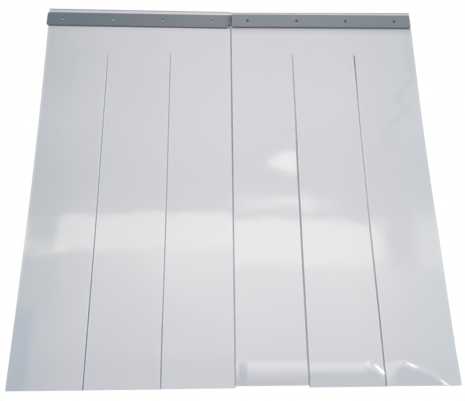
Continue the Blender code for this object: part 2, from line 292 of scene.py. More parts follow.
def makeClearPvc(look):
    material, tree, shader = newMaterial("clear_pvc_sheet")
    flat, cut, cutDarknessAndShade = (
        addNode(tree, "UVMap", uv_map=layer).outputs["UV"] for layer in ("sheetPlace", "cutPlace", "sheetWear")
    )
    place, fromCut, cutDarknessAndShadeParts = (addNode(tree, "SeparateXYZ", {"Vector": pair}).outputs for pair in (flat, cut, cutDarknessAndShade))
    cloud = placeGroup(tree, unevenTone, Vector=flat, **look["cloud"])["Tone"]
    shift = ramp(tree, cloud, 0.0, 1.0, -look["cloudShift"], look["cloudShift"], smooth=False)
    tint = colourStops(tree, maths(tree, "ADD", place["X"], shift), look["tints"])
    halo = ramp(tree, fromCut["X"], *look["haloReach"])  # painted highlight: the sheet is lighter beside each cut
    tint = mixColours(tree, maths(tree, "MULTIPLY", halo, look["haloShare"]), tint, look["haloTint"])
    tint = mixColours(tree, cutDarknessAndShadeParts["Y"], tint, look["handledTint"])  # painted shade: the low ends are darker, for the shadow seen through their curl
    height = maths(tree, "SUBTRACT", sheet["topZ"], place["Y"])
    here = addNode(tree, "CombineXYZ", {"X": place["X"], "Z": height}).outputs[0]
    halfLong, halfHigh = bars["halfSize"][0], bars["halfSize"][2]
    for side, stops in look["barShadows"].items():
        sizes = bars[side]
        outline = placeGroup(tree, outlineBand, **{
            "Vector": here, "Centre": (sizes["centreX"], 0.0, sizes["centreZ"]),
            "Half Size": bars["halfSize"], "Turn": math.radians(sizes["turnDeg"]),
        })
        below = maths(tree, "SUBTRACT", -halfHigh, outline["Up"])
        aside = maths(tree, "ABSOLUTE", outline["Along"])
        shade = product(
            tree, valueStops(tree, below, stops), ramp(tree, below, *look["barShadowStart"]),
            ramp(tree, aside, halfLong, halfLong - look["barShadowSide"]),
        )
        tint = mixColours(tree, shade, tint, look["barShadowAndScoreTint"])
    gap = softBox(tree, place["X"], place["Y"], *look["gapShadow"])
    tint = mixColours(tree, gap, tint, look["gapShadowTint"])
    for slit in look["slits"]:  # where the knife was set down
        aside = maths(tree, "ABSOLUTE", maths(tree, "SUBTRACT", place["X"], slit))
        score = product(
            tree, ramp(tree, aside, *look["slitReach"]), ramp(tree, place["Y"], *look["slitStarts"]),
            look["slitShare"],
        )
        tint = mixColours(tree, score, tint, look["barShadowAndScoreTint"])
    # painted dark reflection on the low corner of the right inner strip, beside the seam
    cornerReflection = softBox(tree, place["X"], fromCut["Y"], *look["cornerDarkReflection"])
    tint = mixColours(tree, cornerReflection, tint, look["cornerDarkReflectionTint"])
    blue = product(
        tree, ramp(tree, place["X"], *look["blueAcross"]), ramp(tree, place["Y"], *look["blueDown"]),
        look["blueShare"],
    )
    tint = mixColours(tree, blue, tint, look["blueTint"])
    tree.links.new(tint, shader.inputs["Base Color"])
    marks = placeGroup(tree, scuffs, Vector=flat, **look["scuffs"])["Mask"]
    rough = ramp(tree, marks, 0.0, 1.0, look["roughness"], look["scuffRoughness"], smooth=False)
    tree.links.new(rough, shader.inputs["Roughness"])
    makeClear(tree, shader, look)
    return material


def makeCutEdge(look):
    material, tree, shader = newMaterial("pvc_cut_edge")
    flat, cutDarknessAndShade = (addNode(tree, "UVMap", uv_map=layer).outputs["UV"] for layer in ("sheetPlace", "sheetWear"))
    darkness = addNode(tree, "SeparateXYZ", {"Vector": cutDarknessAndShade}).outputs["X"]
    tone = placeGroup(tree, unevenTone, Vector=flat, **look["tone"])["Tone"]
    uneven = ramp(tree, tone, 0.0, 1.0, 1.0, look["palestShare"], smooth=False)
    darkness = maths(tree, "MULTIPLY", darkness, uneven)
    tree.links.new(mixColours(tree, darkness, look["clearTint"], look["tint"]), shader.inputs["Base Color"])
    shader.inputs["Roughness"].default_value = look["roughness"]
    makeClear(tree, shader, look)
    return material


def makeInsideJoin():  # closes the uncut band where the strips go on, and doesn't show
    material, tree, shader = newMaterial("pvc_inside_join")
    shader.inputs["Alpha"].default_value = 0.0
    return material


sheet = {
    "width": 0.600, "length": 1.200, "thickness": 0.002, "middleY": -0.0073,
    "topZ": 0.0405, "hingeZ": -0.129, "slitGap": 0.0003, "solidGap": 0.0006,
    "edgeRound": 0.00025, "topRim": 0.003, "lowRim": 0.0013, "columnStep": 0.0065, "rowStep": 0.010,
    "bendStep": 0.005, "bendZone": 0.075, "endStep": 0.003, "endZone": 0.12, "slopeStep": 0.0005,
    "cupZone": 0.25, "creaseRound": 0.004, "creaseHold": 0.35, "endBlend": 0.03, "sharpDeg": 50,
    "topDarkness": ((0, 0.7), (1, 0.7)), "lowDarkness": ((0, 0.15), (1.1, 0.15)),
}
holes = {"radius": 0.0027, "sides": 24, "punchDepth": 0.01}
seamDarkness = (
    (-0.114, 0.1), (-0.104, 1.0), (0.35, 1.0), (0.50, 0.80), (0.65, 0.60), (0.80, 0.75), (0.90, 0.65),
    (1.03, 0.60),
)
# Strips and cuts go from a sheet's outer edge to the seam. A cut is the width of its rim, its darkness and
# how far the knife ran to the right, in millimetres, each by metres below the slits' ends.
# A low end is (share across from the left, height of its crest, lean below the crest, how far the lean goes
# on, where its painted shade starts and is full below the crest, how much of it).
sheetSides = {
    "left": {
        "side": -1, "topOuter": 0.0070, "topInner": -0.0020, "bow": (0.0030, 0.0040, 0.0030),
        "lean": 0.0006, "cup": (0.0004, -0.0003, 0.0004), "drop": (0.0035, 0.0030, 0.0020),
        "lowEnds": (
            ((0, 0.105, 0.0, 0.03, 0.0, 0.05, 0.06), (1, 0.105, 0.0, 0.03, 0.0, 0.05, 0.15)),
            ((0, 0.105, 0.0, 0.03, 0.0, 0.05, 0.20), (1, 0.105, 0.0, 0.03, 0.0, 0.05, 0.22)),
            ((0, 0.105, 0.0, 0.03, 0.0, 0.05, 0.22), (1, 0.105, 0.0, 0.03, 0.0, 0.05, 0.27)),
        ),
        "cuts": (
            (0.0013, ((0, 0.15), (1.03, 0.20)),
             ((-0.17, 0.5), (-0.10, 2.5), (0, 4.3), (0.12, 6.0), (0.25, 7.4), (0.35, 8.0), (0.45, 8.2),
              (0.57, 7.9), (0.65, 6.7), (0.80, 4.2), (0.92, 1.9), (1.00, 0), (1.03, 0))),
            (0.0015, ((0, 0.25), (0.02, 0.50), (0.20, 0.60), (0.50, 0.75), (0.72, 0.90), (0.85, 1.0),
                      (1.03, 0.95)),
             ((0, 1.1), (0.20, 1.5), (0.45, 2.2), (0.60, 2.0), (0.75, 0.7), (0.90, -0.8), (1.03, -1.8))),
            (0.0015, ((0, 0.45), (0.02, 0.62), (0.50, 0.65), (0.80, 0.75), (0.95, 0.95), (1.03, 0.80)),
             ((0, 0.3), (0.50, 1.3), (0.70, 0.4), (0.90, -0.9), (1.03, -0.4))),
            (0.0020, seamDarkness, ((0, 0), (1, 0))),
        ),
    },
    "right": {
        "side": 1, "topOuter": -0.0012, "topInner": -0.0046, "bow": (-0.0020, -0.0040, -0.0030),
        "lean": -0.0010, "cup": (0.0003, 0.0003, -0.0004), "drop": (0.0010, 0.0020, -0.0030),
        "lowEnds": (
            ((0, 0.060, 0.092, 0.070, 0.030, 0.066, 0.3), (0.12, 0.065, 0.085, 0.048, 0.020, 0.050, 0.45),
             (0.17, 0.067, 0.090, 0.032, 0.012, 0.030, 0.8), (0.21, 0.0715, 0.140, 0.026, 0.012, 0.026, 0.85),
             (0.25, 0.0710, 0.155, 0.026, 0.012, 0.026, 0.85), (0.33, 0.0650, 0.160, 0.024, 0.010, 0.024, 0.85),
             (0.41, 0.0590, 0.125, 0.024, 0.009, 0.024, 0.85), (0.50, 0.0530, 0.065, 0.024, 0.009, 0.024, 0.85),
             (0.62, 0.0400, 0.060, 0.022, 0.008, 0.022, 0.85), (0.67, 0.0340, 0.090, 0.020, 0.007, 0.020, 0.85),
             (0.71, 0.0260, 0.130, 0.018, 0.006, 0.018, 0.85), (0.76, 0.0150, 0.190, 0.018, 0.006, 0.018, 0.85),
             (0.83, 0.0060, 0.190, 0.018, 0.006, 0.018, 0.85), (0.90, -0.010, 0.0, 0.02, 0.01, 0.02, 0.0),
             (1, -0.030, 0.0, 0.02, 0.01, 0.02, 0.0)),
            ((0, 0.0640, 0.088, 0.034, 0.014, 0.036, 0.80), (0.73, 0.0640, 0.088, 0.034, 0.014, 0.036, 0.80),
             (0.77, 0.0700, 0.135, 0.030, 0.014, 0.032, 0.85), (0.80, 0.0700, 0.150, 0.030, 0.014, 0.032, 0.85),
             (0.86, 0.0650, 0.155, 0.030, 0.014, 0.032, 0.85), (0.93, 0.0570, 0.145, 0.030, 0.014, 0.032, 0.85),
             (1, 0.0410, 0.130, 0.030, 0.014, 0.032, 0.85)),
            ((0, 0.0650, 0.050, 0.034, 0.020, 0.060, 1.0), (0.15, 0.0650, 0.080, 0.034, 0.020, 0.060, 1.0),
             (0.25, 0.0650, 0.090, 0.036, 0.020, 0.060, 1.0), (1, 0.0650, 0.090, 0.036, 0.022, 0.060, 0.9)),
        ),
        "cuts": (
            (0.0013, ((0, 0.20), (1.03, 0.30)),
             ((-0.17, 0), (-0.05, -1.5), (0, -2.3), (0.15, -4.8), (0.30, -5.6), (0.45, -5.0), (0.65, -3.3),
              (0.80, -2.3), (0.88, -1.5), (0.94, -0.8), (0.98, 0.9), (1.03, 2.0))),
            (0.0020, ((0, 0.75), (0.02, 0.95), (0.08, 0.70), (0.15, 0.40), (0.28, 0.33), (0.45, 0.37),
                      (0.60, 0.55), (0.74, 0.75), (0.85, 0.75), (1.03, 0.65)),
             ((0, 1.2), (0.08, 0.6), (0.20, -0.8), (0.45, -0.6), (0.70, 0.2), (0.85, 1.1), (1.03, 1.0))),
            (0.0028, ((0, 0.17), (0.03, 0.22), (0.20, 0.26), (0.28, 0.42), (0.36, 0.62), (0.75, 0.58),
                      (1.03, 0.50)),
             ((0, 1.8), (0.25, 1.5), (0.40, -0.2), (0.70, -0.6), (1.03, -1.2))),
            (0.0020, seamDarkness, ((0, 0), (1, 0))),
        ),
    },
}
ripples = {
    # depth, wavelength across, wavelength down, start
    "waves": ((0.000050, 0.41, 0.23, 0.4), (0.000030, -0.19, 0.13, 1.9), (0.000016, 0.11, 0.085, 4.1)),
    "uneven": 0.00005, "perMetre": (7.0, 11.0), "slice": 3.0,
    "fadeZ": (-0.08, -0.030),  # none where the bars clamp the sheet
}
stripLength = sheet["length"] - (sheet["topZ"] - sheet["hingeZ"])
pvcFinishes = (makeClearPvc(clearPvc), makeCutEdge(cutEdge), makeInsideJoin())


def between(points, place):  # the value at a place along (place, value) points
    for (start, first), (stop, second) in zip(points, points[1:]):
        if place <= stop:
            return first + (second - first) * max(0.0, place - start) / (stop - start)
    return points[-1][1]


def endShape(rows, share):  # a low end's crest, lean, reach and painted shade at a share across
    spots = (share - sheet["endBlend"], share, share + sheet["endBlend"])
    return [
        sum(between([(row[0], row[column]) for row in rows], spot) for spot in spots) / 3
        for column in range(1, 7)
    ]


def leanOut(below, reach):  # how far a lean of 1 stands out at a distance below its crest
    start, hold = sheet["creaseRound"], sheet["creaseHold"] * reach
    below = max(0.0, below)
    stood = min(below, start) ** 2 / (2 * start) + max(0.0, min(below, hold) - start)
    fall = min(max(below - hold, 0.0), reach - hold)
    return stood + fall - fall**2 / (2 * (reach - hold))


def smoothStep(low, high, value):
    share = max(0.0, min(1.0, (value - low) / (high - low)))
    return share * share * (3 - 2 * share)


def rippleAt(x, z):
    depth = sum(
        size * math.sin(2 * math.pi * (x / wide + z / tall) + start)
        for size, wide, tall, start in ripples["waves"]
    )
    across, down = ripples["perMetre"]
    depth += ripples["uneven"] * noise.noise(Vector((x * across, ripples["slice"], z * down)))
    return depth * (1 - smoothStep(*ripples["fadeZ"], z))


def stripShape(side, place):  # what decides how a strip hangs
    sizes = sheetSides[side]
    left, right = stripEdges(side, stripNames[place])
    return {
        "left": left, "right": right, "length": stripLength + sizes["drop"][place], "lean": sizes["lean"],
        "bow": sizes["bow"][place], "cup": sizes["cup"][place], "lowEnd": sizes["lowEnds"][place], "ends": {},
    }


def endAt(strip, x):  # the low end at a place across, kept once worked out
    key = round(x, 5)
    if key not in strip["ends"]:
        share = (x - strip["left"]) / (strip["right"] - strip["left"])
        strip["ends"][key] = endShape(strip["lowEnd"], share)
    return strip["ends"][key]


def standOff(strip, x, z):  # how far a strip stands behind its flat sheet, or in front if below 0
    down, length = sheet["hingeZ"] - z, strip["length"]
    turn = 2 * math.pi * down / length
    depth = -strip["bow"] * (1 - math.cos(turn)) / 2
    depth += strip["lean"] * (down / 2 - length / (4 * math.pi) * math.sin(turn))
    crest, lean, reach = endAt(strip, x)[:3]
    depth -= lean * leanOut(crest - (length - down), reach)
    offMiddle = (2 * x - strip["left"] - strip["right"]) / (strip["right"] - strip["left"])
    depth += strip["cup"] * offMiddle**2 * smoothStep(0.0, sheet["cupZone"], down)
    return depth + rippleAt(x, z)


# painted shade: how dark a strip's low end is painted, for the shadow seen through its curl
def lowEndShadeAt(strip, x, z):
    crest, lean, reach, start, full, amount = endAt(strip, x)
    return amount * smoothStep(start, full, crest - (strip["length"] - (sheet["hingeZ"] - z)))


def spaced(low, high, step):
    count = max(1, round((high - low) / step))
    return [low + (high - low) * i / count for i in range(count + 1)]


def edgeLine(low, high, step, lowRim, highRim):  # places across a sheet, closer together at a cut
    corner = sheet["edgeRound"]
    start = [low, low + corner, low + lowRim] if lowRim else [low]
    stop = [high - highRim, high - corner, high] if highRim else [high]
    return start[:-1] + spaced(start[-1], stop[0], step) + stop[1:]


def buildSheet(name, side, columns, rows, zAt, depthAt, endShadeAt, cuts):
    # rows run from the top down, and cuts holds (rim, darkness, ...) for each side that is cut
    # sheetPlace is metres across and down the flat sheet, cutPlace metres from a side cut and from the low end,
    # and the third map the darkness of the nearest cut and how much painted shade the low end gets
    half, step = sheet["thickness"] / 2, sheet["slopeStep"]
    wide, tall = len(columns), len(rows)
    verts, places, distances, cutDarknessAndShade = [], [], [], []
    knifeRuns = slitRuns(side)
    for face in (-1, 1):
        for j, row in enumerate(rows):
            for i, x in enumerate(columns):
                z = zAt(x, row)
                slopeX = (depthAt(x + step, z) - depthAt(x - step, z)) / (2 * step)
                slopeZ = (depthAt(x, z + step) - depthAt(x, z - step)) / (2 * step)
                normal = Vector((slopeX, -1.0, slopeZ)).normalized()
                reached = {
                    "left": x - columns[0], "right": columns[-1] - x,
                    "top": zAt(x, rows[0]) - z, "low": z - zAt(x, rows[-1]),
                }
                onCut = any(reached[edge] < 1e-6 for edge in cuts)
                reach = half - sheet["edgeRound"] if onCut else half
                run = between([(at, between(run, sheet["hingeZ"] - z)) for at, run in knifeRuns], x) / 1000
                verts.append(Vector((x + run, sheet["middleY"] + depthAt(x, z), z)) - face * reach * normal)
                places.append((x, sheet["topZ"] - z))
                aside = min((reached[edge] for edge in ("left", "right") if edge in cuts), default=1.0)
                distances.append((aside, reached["low"] if "low" in cuts else 1.0))
                near = min(cuts, key=lambda edge: reached[edge] / cuts[edge][0])
                cutDarknessAndShade.append((between(cuts[near][1], sheet["hingeZ"] - z), endShadeAt(x, z)))
    front = lambda j, i: j * wide + i
    back = lambda j, i: tall * wide + j * wide + i
    faces, finishes = [], []

    def onRim(j, i):
        return int(
            (i < 2 and "left" in cuts) or (i > wide - 4 and "right" in cuts)
            or (j < 2 and "top" in cuts) or (j > tall - 4 and "low" in cuts)
        )

    for j in range(tall - 1):
        for i in range(wide - 1):
            faces.append((front(j, i), front(j + 1, i), front(j + 1, i + 1), front(j, i + 1)))
            faces.append((back(j, i), back(j, i + 1), back(j + 1, i + 1), back(j + 1, i)))
            finishes += [onRim(j, i)] * 2
    for j in range(tall - 1):
        last = wide - 1
        faces.append((front(j, 0), back(j, 0), back(j + 1, 0), front(j + 1, 0)))
        faces.append((front(j, last), front(j + 1, last), back(j + 1, last), back(j, last)))
        finishes += [1, 1]
    for i in range(wide - 1):
        last = tall - 1
        if "top" in cuts:
            faces.append((front(0, i), front(0, i + 1), back(0, i + 1), back(0, i)))
            finishes.append(1)
            faces.append((front(last, i), back(last, i), back(last, i + 1), front(last, i + 1)))
            finishes.append(2)
        else:
            faces.append((front(last, i), back(last, i), back(last, i + 1), front(last, i + 1)))
            finishes.append(1)
    mesh = bpy.data.meshes.new(name)
    mesh.from_pydata(verts, [], faces)
    for layerName, values in (("sheetPlace", places), ("cutPlace", distances), ("sheetWear", cutDarknessAndShade)):
        layer = mesh.uv_layers.new(name=layerName)
        for loop in mesh.loops:
            layer.data[loop.index].uv = values[loop.vertex_index]
    for finish in pvcFinishes:
        mesh.materials.append(finish)
    mesh.polygons.foreach_set("material_index", finishes)
    mesh.shade_smooth()
    mesh.set_sharp_from_angle(angle=math.radians(sheet["sharpDeg"]))
    mesh.validate()
    piece = bpy.data.objects.new(name, mesh)
    bpy.context.scene.collection.objects.link(piece)
    return piece


def punchHoles(piece, centres):  # the rivets' holes, through a sheet
    cutters = []
    for centre in centres:
        shape = bmesh.new()
        bmesh.ops.create_cone(
            shape, cap_ends=True, segments=holes["sides"], radius1=holes["radius"], radius2=holes["radius"],
            depth=holes["punchDepth"],
            matrix=Matrix.Translation(centre) @ Matrix.Rotation(math.radians(90), 4, "X"),
        )
        mesh = bpy.data.meshes.new("punch")
        shape.to_mesh(mesh)
        shape.free()
        cutters.append(bpy.data.objects.new("punch", mesh))
        bpy.context.scene.collection.objects.link(cutters[-1])
        modifier = piece.modifiers.new("punch", "BOOLEAN")
        modifier.object, modifier.operation = cutters[-1], "DIFFERENCE"
    graph = bpy.context.evaluated_depsgraph_get()
    punched = bpy.data.meshes.new_from_object(piece.evaluated_get(graph))
    piece.modifiers.clear()
    punched.set_sharp_from_angle(angle=math.radians(sheet["sharpDeg"]))
    piece.data = punched
    for cutter in cutters:
        bpy.data.objects.remove(cutter)


def sideCuts(side, first, last):  # the left and right cuts of the strips from first to last
    cuts = (sheetSides[side]["cuts"][first], sheetSides[side]["cuts"][last + 1])
    return dict(zip(("left", "right"), cuts if side == "left" else cuts[::-1]))


def slitRuns(side):  # where each cut of a sheet is, from left to right, and how the knife ran there
    edges = [stripEdges(side, name) for name in stripNames]
    runs = [cut[2] for cut in sheetSides[side]["cuts"]]
    if side == "left":
        return list(zip([edges[0][0]] + [right for left, right in edges], runs))
    return list(zip([edges[2][0]] + [edge[1] for edge in edges[::-1]], runs[::-1]))


def makeBand(side, columnLines):  # the uncut band of a sheet, clamped between the rail and a front bar
    sizes = sheetSides[side]
    sign = sizes["side"]
    outer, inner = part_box(f"{side}_strip_outer"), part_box(f"{side}_strip_inner")
    outerX = (outer[0] if sign < 0 else outer[1]).x
    innerX = (inner[1] if sign < 0 else inner[0]).x

    def topAt(x):
        share = (x - outerX) / (innerX - outerX)
        return sheet["topZ"] + sizes["topOuter"] + (sizes["topInner"] - sizes["topOuter"]) * share

    columns = sorted({round(x, 7) for line in columnLines for x in line})
    height = sheet["topZ"] - sheet["hingeZ"]
    rows = edgeLine(0.0, height, sheet["rowStep"], sheet["topRim"], 0)  # measured down from the top edge
    zAt = lambda x, row: topAt(x) - row * (topAt(x) - sheet["hingeZ"]) / height
    band = buildSheet(
        f"{side}_clear_band", side, columns, rows, zAt, rippleAt, lambda x, z: 0.0,
        {**sideCuts(side, 0, 2), "top": (sheet["topRim"], sheet["topDarkness"])},
    )
    centres = []
    for number in range(1, 5):
        low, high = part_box(f"{side}_rivet_{number}")
        centres.append(Vector(((low.x + high.x) / 2, sheet["middleY"], (low.z + high.z) / 2)))
    punchHoles(band, centres)
    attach(band, "root")
    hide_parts(f"{side}_sheet_header")
    return band


def stripEdges(side, name):
    low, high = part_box(f"{side}_strip_{name}")
    grow = (sheet["solidGap"] - sheet["slitGap"]) / 2  # a knife's cut is thinner than the solids' clearance
    left = low.x - (0.0 if side == "left" and name == "outer" else grow)
    right = high.x + (0.0 if side == "right" and name == "outer" else grow)
    return left, right


def stripColumns(side, place):
    left, right = stripEdges(side, stripNames[place])
    cuts = sideCuts(side, place, place)
    return edgeLine(left, right, sheet["columnStep"], cuts["left"][0], cuts["right"][0])


def makeStrip(side, place):
    shape = stripShape(side, place)
    left, right, length = shape["left"], shape["right"], shape["length"]
    bend = spaced(0.0, sheet["bendZone"], sheet["bendStep"])
    plain = spaced(bend[-1], length - sheet["endZone"], sheet["rowStep"])
    ending = edgeLine(plain[-1], length, sheet["endStep"], 0, sheet["lowRim"])
    node = f"{side}_strip_{stripNames[place]}"
    strip = buildSheet(
        f"{side}_clear_strip_{stripNames[place]}", side, stripColumns(side, place), bend + plain[1:] + ending[1:],
        lambda x, row: sheet["hingeZ"] - row,
        lambda x, z: standOff(shape, x, z), lambda x, z: lowEndShadeAt(shape, x, z),
        {**sideCuts(side, place, place), "low": (sheet["lowRim"], sheet["lowDarkness"])},
    )
    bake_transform(strip)
    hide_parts(node)


for side in sheetSides:
    band = makeBand(side, [stripColumns(side, place) for place in range(3)])
    for place in range(3):
        makeStrip(side, place)
    print(side, "sheet hung, with its three strips")


coat = {  # grey coating on the bars and the rail
    "tone": {"Patch Size": 0.09, "Detail": 3.0}, "toneShare": 0.18, "toneShade": 0.8,
    "grainSize": 0.0011, "speckleShare": 0.15, "lineReach": (1.4, 0.6), "lineShare": 0.5,
    "scuffs": {"Length": 0.03, "Slant": 0.15, "Amount": 0.6}, "scuffShare": 0.35, "scuffPolish": 0.12,
    "bump": {"Strength": 0.25, "Distance": 0.0002},
}
metal = {  # bare metal of the rivets and mandrels, its painted shade in shares of a head's radius
    "tone": {"Patch Size": 0.004, "Detail": 3.0}, "shadeShift": 0.3, "shadeFade": (-0.45, 0.15),
    "dirtRoughness": 0.15, "bump": {"Strength": 0.3, "Distance": 0.0001},
}
rail = {
    "centre": (0.0, -0.003, 0.007), "halfSize": (0.596, 0.003, 0.020), "corner": 0.003, "edgeWidth": 0.002,
    "farTint": (0.330, 0.385, 0.440), "nearTint": (0.330, 0.385, 0.440), "edgeShadeAndMarkTint": (0.220, 0.264, 0.308),
    "wornTint": (0.40, 0.42, 0.44), "roughness": 0.5, "lineWidth": 0.0008, "endLine": 9.0, "turnDeg": 0.0,
}
rivets = {
    "headRadius": 0.0048, "roughness": 0.38, "metallic": 0.6, "grainSize": 0.0006,
    # each side's tints are the painted light low on a head and the painted shade at its top
    "tints": {
        "left": ((0.40, 0.42, 0.44), (0.045, 0.055, 0.065)),
        "right": ((0.090, 0.105, 0.120), (0.060, 0.072, 0.085)),
    },
}
mandrels = {
    "headRadius": 0.0016, "roughness": 0.5, "metallic": 0.9, "grainSize": 0.0004,
    # each side's tints are the painted light low on a head and the painted shade at its top
    "tints": {side: ((0.060, 0.068, 0.076), (0.050, 0.056, 0.062)) for side in sheetSides},
}


def placeOutline(tree, look, sizes, centre):
    here = addNode(tree, "TexCoord").outputs["Object"]
    outline = placeGroup(tree, outlineBand, **{
        "Vector": here, "Centre": centre, "Half Size": look["halfSize"],
        "Turn": math.radians(sizes["turnDeg"]), "Corner": look["corner"], "Width": look["edgeWidth"],
    })
    return here, outline


def makeCoat(name, look, sizes, centre, sign):  # duller and darker at the edges, a painted shade; lighter towards the seam where its tints differ, a painted sheen
    material, tree, shader = newMaterial(name)
    here, outline = placeOutline(tree, look, sizes, centre)
    tone = placeGroup(tree, unevenTone, Vector=here, **coat["tone"])["Tone"]
    grain = placeGroup(tree, fineGrain, **{"Vector": here, "Grain Size": coat["grainSize"]})
    marks = placeGroup(tree, scuffs, Vector=here, **coat["scuffs"])["Mask"]
    reach = look["halfSize"][0]
    inward = ramp(tree, maths(tree, "MULTIPLY", outline["Along"], -float(sign)), -reach, reach)
    shaded = tuple(value * coat["toneShade"] for value in sizes["nearTint"])
    fromLine = maths(tree, "ABSOLUTE", maths(tree, "SUBTRACT", outline["Along"], sizes["endLine"]))
    line = ramp(tree, fromLine, *(look["lineWidth"] * share for share in coat["lineReach"]))
    # painted sheen: each bar gets lighter from its far end towards the seam
    tint = mixColours(tree, inward, sizes["farTint"], sizes["nearTint"])
    tint = mixColours(tree, maths(tree, "MULTIPLY", tone, coat["toneShare"]), tint, shaded)
    tint = mixColours(tree, maths(tree, "MULTIPLY", marks, coat["scuffShare"]), tint, look["wornTint"])
    specks = maths(tree, "MULTIPLY", grain["Speckle"], coat["speckleShare"])
    tint = mixColours(tree, specks, tint, look["edgeShadeAndMarkTint"])
    tint = mixColours(tree, maths(tree, "MULTIPLY", line, coat["lineShare"]), tint, look["edgeShadeAndMarkTint"])
    # painted shade on the sides, underside included, and on a band round the face
    tint = mixColours(tree, outline["Mask"], tint, look["edgeShadeAndMarkTint"])
    tree.links.new(tint, shader.inputs["Base Color"])
    rough = ramp(tree, marks, 0.0, 1.0, look["roughness"], look["roughness"] - coat["scuffPolish"], smooth=False)
    tree.links.new(rough, shader.inputs["Roughness"])
    bump = addNode(tree, "Bump", {"Height": grain["Height"], **coat["bump"]})
    tree.links.new(bump.outputs["Normal"], shader.inputs["Normal"])
    return material


def makeMetal(name, look, side, centre):  # painted shade on the top of each head and painted light below it
    material, tree, shader = newMaterial(name)
    here, outline = placeOutline(tree, bars, bars[side], centre)
    tone = placeGroup(tree, unevenTone, Vector=here, **metal["tone"])["Tone"]
    grain = placeGroup(tree, fineGrain, **{"Vector": here, "Grain Size": look["grainSize"]})
    reach = look["headRadius"]
    shift = ramp(tree, tone, 0.0, 1.0, -metal["shadeShift"] * reach, metal["shadeShift"] * reach, smooth=False)
    height = maths(tree, "ADD", outline["Up"], shift)
    topShade = ramp(tree, height, *(share * reach for share in metal["shadeFade"]))
    tree.links.new(mixColours(tree, topShade, *look["tints"][side]), shader.inputs["Base Color"])
    shader.inputs["Metallic"].default_value = look["metallic"]
    rough = ramp(tree, tone, 0.0, 1.0, look["roughness"], look["roughness"] + metal["dirtRoughness"], smooth=False)
    tree.links.new(rough, shader.inputs["Roughness"])
    bump = addNode(tree, "Bump", {"Height": grain["Height"], **metal["bump"]})
    tree.links.new(bump.outputs["Normal"], shader.inputs["Normal"])
    return material


def refinish(node, material):
    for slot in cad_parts[node].material_slots:
        slot.material = material


for side, sign in (("left", -1), ("right", 1)):
    sizes = bars[side]
    centre = (sizes["centreX"], bars["centreY"], sizes["centreZ"])
    refinish(f"{side}_front_bar", makeCoat(f"{side}_bar_coat", bars, sizes, centre, sign))
    rivetMetal = makeMetal(f"{side}_rivet_aluminium", rivets, side, centre)
    mandrelMetal = makeMetal(f"{side}_mandrel_steel", mandrels, side, centre)
    for number in range(1, 5):
        refinish(f"{side}_rivet_{number}", rivetMetal)
        refinish(f"{side}_mandrel_{number}", mandrelMetal)
refinish("back_rail", makeCoat("rail_coat", rail, rail, rail["centre"], 1))
print("bars, rail and rivets finished")


studio = {
    "floorZ": -1.56, "floorTint": (0.86, 0.86, 0.86), "floorFade": (2.2, 5.0), "floorRadius": 14.0,
    "floorSides": 96, "floorRoughness": 0.8, "roomLight": 0.80,
}
# The wall stands in front of the curtain and shows only in reflections. Places are metres across and up on it,
# a box is left, right, low, high and softness, and a ramp runs from its first to its second place.
wall = {
    "y": -5.0, "across": (-3.2, 4.8), "up": (-1.3, 4.2), "lift": 3.4, "litTint": (1.10, 1.0, 0.80),
    "tones": (
        (-1.3, 0.35), (-0.80, 0.35), (-0.66, 0.40), (-0.50, 0.75), (-0.36, 1.0), (0.0, 1.0), (1.25, 0.75),
        (1.63, 0.60), (2.0, 0.80), (2.43, 1.0), (2.9, 0.80), (3.47, 0.50),
    ),
    "window": {
        "box": (-1.87, 1.86, 0.58, 1.06, 0.03), "slant": 0.2, "slantFrom": 0.82, "rightEdge": (1.87, 1.79),
        "cornerSlope": 0.8, "cornerEdge": (2.61, 2.53), "strength": (-0.4, 0.6, 0.84, 0.93),
    },
    "glow": {
        "rise": (-0.35, 0.70), "top": (1.06, 1.02), "middle": (-0.1, 0.5, 0.70, 0.53),
        "left": (-2.1, -0.5, 0.1, 1.0), "right": (2.6, 1.7, 0.45, 1.0),
        "besideAcross": (1.86, 1.96), "besideUp": (0.40, 0.62, 0.0, 0.85),
    },
    "patches": (  # box and strength
        (2.78, 4.60, 0.60, 1.10, 0.05, 1.8), (-2.52, -1.74, 0.535, 0.69, 0.04, 0.40),
        (2.30, 2.85, 0.50, 1.12, 0.10, 0.42), (-2.60, -2.25, 0.60, 1.0, 0.04, 0.55),
        (0.90, 1.08, 1.13, 1.25, 0.04, 0.35), (-0.80, 0.16, 1.06, 1.10, 0.015, 0.60),
        (-2.10, -1.25, 0.53, 0.585, 0.02, 0.35), (0.20, 0.46, 1.03, 1.075, 0.03, 0.40),
    ),
    "oval": {
        "centre": (0.87, 1.688), "half": (0.30, 0.106), "edge": (1.12, 0.86), "cut": (0.880, 0.865),
        "strength": 1.25,
    },
    "line": {  # a dark crooked line, as (height, place across) points
        "points": (
            (1.78, 1.78), (1.97, 2.15), (2.07, 2.03), (2.18, 2.10), (2.43, 2.43), (2.62, 2.27), (2.83, 2.50),
        ),
        "least": 1.7, "span": 0.9, "reach": (0.09, 0.02), "share": 0.9, "lowEdge": (1.76, 1.86),
    },
    "smear": {
        "across": (
            (0.15, 0.0), (0.30, 0.42), (0.50, 0.76), (0.85, 0.92), (0.95, 0.80), (1.07, 0.45), (1.30, 0.35),
            (1.50, 0.0),
        ),
        "up": (1.18, 1.30), "soft": 0.05,
    },
}
cornerLamp = {"size": (1.50, 0.70), "centre": (2.79, -3.27, 0.15), "aim": (0.45, 0.0, -1.1), "watts": 18.0}
softKey = {"size": (1.6, 1.2), "centre": (0.5, -2.6, 3.1), "aim": (0.0, 0.0, -0.3), "watts": 34.0}
view = {
    "location": (-0.05247, -1.66603, -1.26109), "turnDeg": (110.73156, 0.68371, -1.49549),
    "lens": 46.6954, "sensor": 36.0,
}


